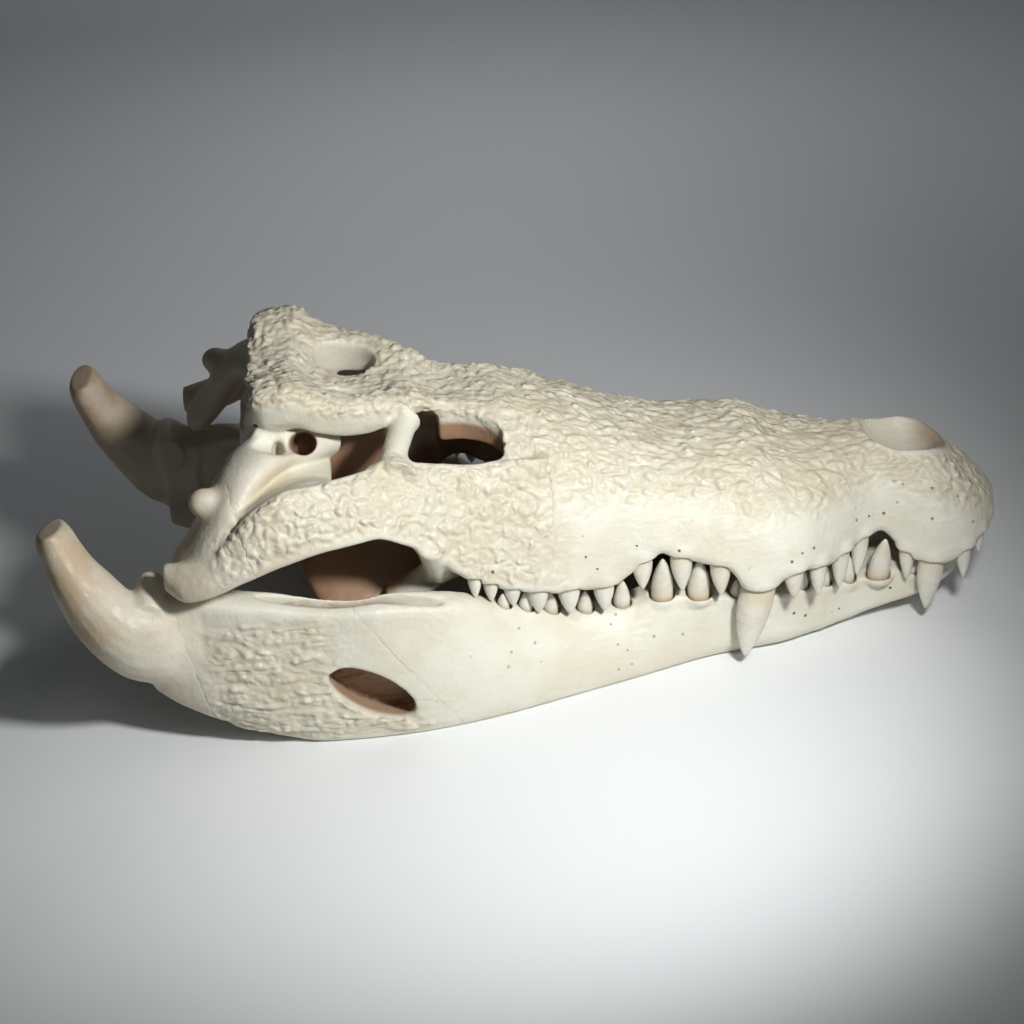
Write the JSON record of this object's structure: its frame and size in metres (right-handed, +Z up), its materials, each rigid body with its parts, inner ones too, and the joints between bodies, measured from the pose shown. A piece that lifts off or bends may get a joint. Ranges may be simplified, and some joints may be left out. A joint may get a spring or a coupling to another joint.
{
  "type": "saltwater crocodile skull",
  "caption": "Bleached skull of a large crocodile with the jaws closed: long pitted snout, interlocking teeth, open eye sockets, flaring cheek bars and hooked rear ends of the lower jaw",
  "frame": {"origin": "centre of the footprint on the floor that the lower jaw rests on", "axes": "+X towards the tip of the snout, +Y to the animal's left, +Z up"},
  "size_m": [0.6807, 0.3096, 0.24],
  "materials": {
    "bone": "dry matt cream-white bone",
    "tooth": "smooth ivory with a soft sheen"
  },
  "bodies": {
    "root": {"premaxilla_right": "bone", "premaxilla_left": "bone", "nasals": "bone", "maxilla_right": "bone", "maxilla_left": "bone", "parietal": "bone", "frontal": "bone", "squamosal_right": "bone", "squamosal_left": "bone", "postorbital_right": "bone", "postorbital_left": "bone", "lacrimal_right": "bone", "lacrimal_left": "bone", "jugal_right": "bone", "jugal_left": "bone", "quadratojugal_right": "bone", "quadratojugal_left": "bone", "quadrate_right": "bone", "quadrate_left": "bone", "braincase": "bone", "pterygoid": "bone", "ectopterygoid_right": "bone", "ectopterygoid_left": "bone", "palatines": "bone", "dentary_right": "bone", "dentary_left": "bone", "articular_right": "bone", "articular_left": "bone", "surangular_right": "bone", "surangular_left": "bone", "angular_right": "bone", "angular_left": "bone"}
  },
  "joints": []
}
